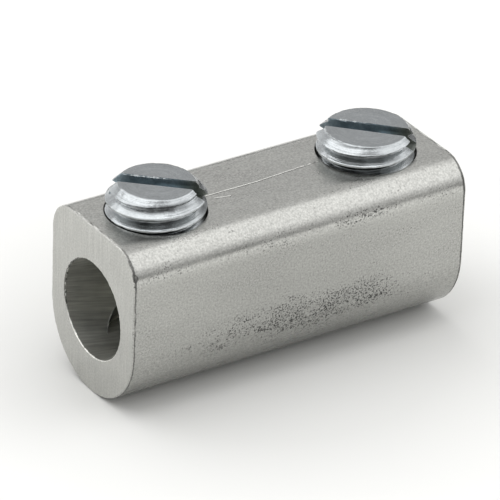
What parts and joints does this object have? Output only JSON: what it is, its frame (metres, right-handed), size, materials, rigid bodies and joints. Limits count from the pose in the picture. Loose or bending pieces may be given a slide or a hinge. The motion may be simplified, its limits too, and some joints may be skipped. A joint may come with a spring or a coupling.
{
  "type": "mechanical cable splice",
  "caption": "Metal barrel with a flat top and round bottom that joins cables end to end, with a slotted set screw to clamp each one in its own blind bore.",
  "frame": {"origin": "centre of the left conductor bore's mouth", "axes": "+X along the bores to the right end, -Y is the front side, +Z towards the clamping screws"},
  "size_m": [0.0301, 0.0116, 0.0166],
  "materials": {
    "tin_plated_aluminium": "dull tin plate over extruded and sawn aluminium",
    "zinc_plated_steel": "bright blue-white zinc plate over turned steel"
  },
  "bodies": {
    "barrel": {"splice_body": "tin_plated_aluminium"},
    "left_screw": {"left_set_screw": "zinc_plated_steel"},
    "right_screw": {"right_set_screw": "zinc_plated_steel"}
  },
  "joints": [
    {"name": "left_screw_feed", "type": "slide", "parent": "barrel", "child": "left_screw", "axis": [0, 0, 1], "range_m": [-0.0058, 0.0017]},
    {"name": "right_screw_feed", "type": "slide", "parent": "barrel", "child": "right_screw", "axis": [0, 0, 1], "range_m": [-0.0054, 0.0021]}
  ]
}
